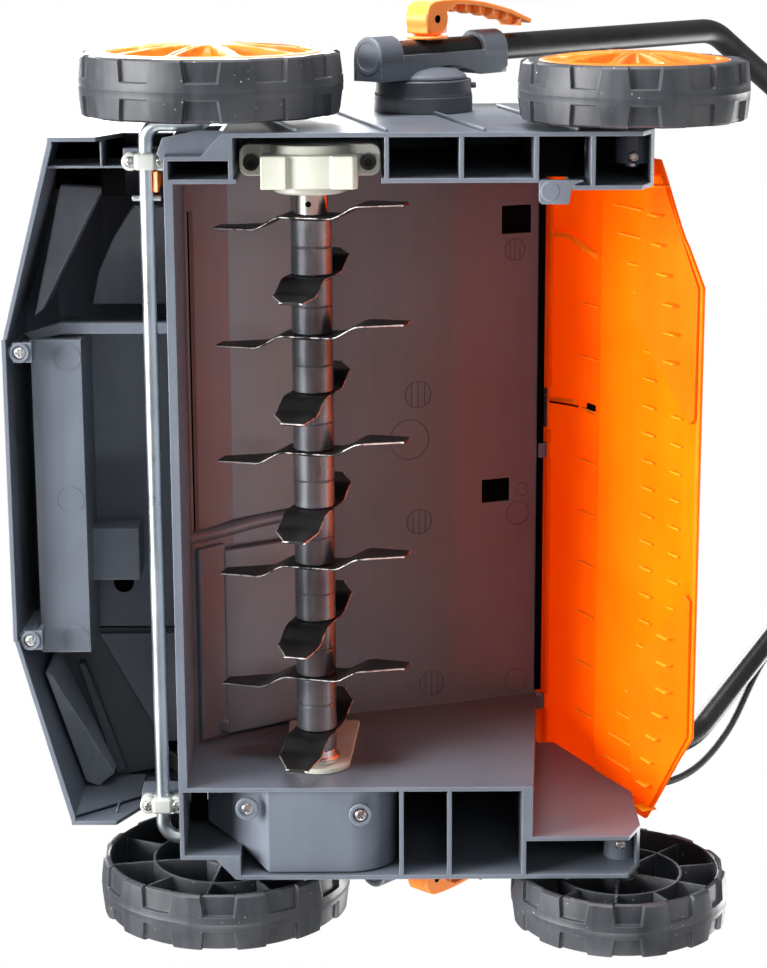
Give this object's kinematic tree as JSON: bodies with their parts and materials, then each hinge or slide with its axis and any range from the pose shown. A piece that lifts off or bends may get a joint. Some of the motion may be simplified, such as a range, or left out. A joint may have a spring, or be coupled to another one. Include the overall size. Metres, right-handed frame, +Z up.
{
  "type": "electric lawn aerator",
  "caption": "Walk-behind electric lawn scarifier: bladed roller in a moulded deck, lugged wheels, hinged rear flap and a folding tube handle.",
  "frame": {"origin": "on the ground under the middle of the whole machine's box", "axes": "+X to the machine's left, +Y to its rear, where the handle is, +Z up"},
  "size_m": [0.675, 0.9308, 1.0131],
  "materials": {
    "deck_plastic": "moulded dark grey polypropylene, satin",
    "orange_plastic": "moulded orange polypropylene, satin",
    "wheel_plastic": "hard black moulded plastic",
    "nylon": "natural cream nylon",
    "black_plastic": "black moulded plastic",
    "zinc": "bright zinc plated steel",
    "black_steel": "blackened steel with worn bright edges",
    "tube_paint": "gloss black paint on steel tube",
    "rubber": "matt black rubber",
    "foam": "black closed-cell foam",
    "motor_metal": "plated motor shell"
  },
  "bodies": {
    "chassis": {"deck": "deck_plastic", "hood": "deck_plastic", "motor_tray": "deck_plastic", "motor_can": "motor_metal", "belt_cover": "deck_plastic", "bearing_block": "nylon", "bearing_bolt_front": "black_steel", "bearing_bolt_rear": "black_steel", "bearing_carrier": "nylon", "axle_clamp_left": "nylon", "axle_clamp_right": "nylon", "turret_left": "deck_plastic", "turret_right": "deck_plastic", "flap_hinge_rod": "zinc", "flap_spring": "zinc", "rear_axle_left": "zinc", "rear_axle_right": "zinc", "drive_belt": "rubber", "power_cable": "rubber"},
    "front_axle": {"front_axle": "zinc", "cross_pin": "zinc", "height_lever": "orange_plastic"},
    "front_wheel_left": {"front_wheel_left": "wheel_plastic", "front_cap_left": "orange_plastic"},
    "front_wheel_right": {"front_wheel_right": "wheel_plastic", "front_cap_right": "orange_plastic"},
    "rear_wheel_left": {"rear_wheel_left": "wheel_plastic", "rear_cap_left": "orange_plastic"},
    "rear_wheel_right": {"rear_wheel_right": "wheel_plastic", "rear_cap_right": "orange_plastic"},
    "roller": {"roller_shaft": "black_steel", "end_sleeve": "zinc", "spacer_stack": "black_steel", "roller_pulley": "black_plastic", "blade_01": "black_steel", "blade_02": "black_steel", "blade_03": "black_steel", "blade_04": "black_steel", "blade_05": "black_steel", "blade_06": "black_steel", "blade_07": "black_steel", "blade_08": "black_steel", "blade_09": "black_steel", "blade_10": "black_steel"},
    "motor_rotor": {"motor_rotor": "black_steel"},
    "rear_flap": {"rear_flap": "orange_plastic"},
    "handle_lower": {"cradle_left": "deck_plastic", "cradle_right": "deck_plastic", "lower_tube_left": "tube_paint", "lower_tube_right": "tube_paint", "handle_cable": "rubber"},
    "cam_lever_left": {"cam_lever_left": "orange_plastic"},
    "cam_lever_right": {"cam_lever_right": "orange_plastic"},
    "handle_knob_left": {"handle_knob_left": "black_plastic"},
    "handle_knob_right": {"handle_knob_right": "black_plastic"},
    "handle_upper": {"upper_handle": "tube_paint", "grip_sleeve": "foam", "switch_box": "black_plastic"},
    "bail": {"bail_lever": "orange_plastic"},
    "lock_button": {"lock_button": "orange_plastic"}
  },
  "joints": [
    {"name": "front_axle_tilt", "type": "hinge", "parent": "chassis", "child": "front_axle", "pos_m": [0, -0.35677, 0.09287], "axis": [1, 0, 0], "range_deg": [-15, 15]},
    {"name": "roller_spin", "type": "hinge", "parent": "chassis", "child": "roller", "pos_m": [0, -0.2406, 0.06957], "axis": [1, 0, 0], "continuous": true},
    {"name": "motor_spin", "type": "hinge", "parent": "chassis", "child": "motor_rotor", "pos_m": [0, -0.38645, 0.22785], "axis": [1, 0, 0], "continuous": true},
    {"name": "flap_hinge", "type": "hinge", "parent": "chassis", "child": "rear_flap", "pos_m": [0, -0.08507, 0.25383], "axis": [1, 0, 0], "range_deg": [0, 65], "stiffness_Nm_per_rad": 0.08, "springref_deg": -28.65, "deforming": ["flap_spring"]},
    {"name": "handle_tilt", "type": "hinge", "parent": "chassis", "child": "handle_lower", "pos_m": [0, -0.17272, 0.18671], "axis": [1, 0, 0], "range_deg": [-20, 113], "deforming": ["power_cable"]},
    {"name": "upper_fold", "type": "hinge", "parent": "handle_lower", "child": "handle_upper", "pos_m": [0, 0.19805, 0.65843], "axis": [1, 0, 0], "range_deg": [-160, 0], "deforming": ["handle_cable"]},
    {"name": "bail_pull", "type": "hinge", "parent": "handle_upper", "child": "bail", "pos_m": [0, 0.38653, 0.89823], "axis": [1, 0, 0], "range_deg": [-24, 0], "stiffness_Nm_per_rad": 0.8, "springref_deg": 22.92},
    {"name": "lock_press", "type": "slide", "parent": "handle_upper", "child": "lock_button", "axis": [0, 0.7862, -0.618], "range_m": [0, 0.005], "stiffness_N_per_m": 400, "springref_m": -0.002},
    {"name": "cam_open_left", "type": "hinge", "parent": "handle_lower", "child": "cam_lever_left", "pos_m": [0.3245, -0.17025, 0.18985], "axis": [0, 0.7862, -0.618], "range_deg": [0, 100]},
    {"name": "knob_spin_left", "type": "hinge", "parent": "handle_lower", "child": "handle_knob_left", "pos_m": [0, 0.19805, 0.65843], "axis": [1, 0, 0], "continuous": true},
    {"name": "front_spin_left", "type": "hinge", "parent": "front_axle", "child": "front_wheel_left", "pos_m": [0, -0.31093, 0.09072], "axis": [1, 0, 0], "continuous": true},
    {"name": "rear_spin_left", "type": "hinge", "parent": "chassis", "child": "rear_wheel_left", "pos_m": [0, -0.02548, 0.07722], "axis": [1, 0, 0], "continuous": true},
    {"name": "cam_open_right", "type": "hinge", "parent": "handle_lower", "child": "cam_lever_right", "pos_m": [-0.3245, -0.17025, 0.18985], "axis": [0, -0.7862, 0.618], "range_deg": [0, 100]},
    {"name": "knob_spin_right", "type": "hinge", "parent": "handle_lower", "child": "handle_knob_right", "pos_m": [0, 0.19805, 0.65843], "axis": [1, 0, 0], "continuous": true},
    {"name": "front_spin_right", "type": "hinge", "parent": "front_axle", "child": "front_wheel_right", "pos_m": [0, -0.31093, 0.09072], "axis": [1, 0, 0], "continuous": true},
    {"name": "rear_spin_right", "type": "hinge", "parent": "chassis", "child": "rear_wheel_right", "pos_m": [0, -0.02548, 0.07722], "axis": [1, 0, 0], "continuous": true}
  ],
  "couplings": [
    {"joint": "motor_spin", "follows": "roller_spin", "ratio": 2.5}
  ]
}
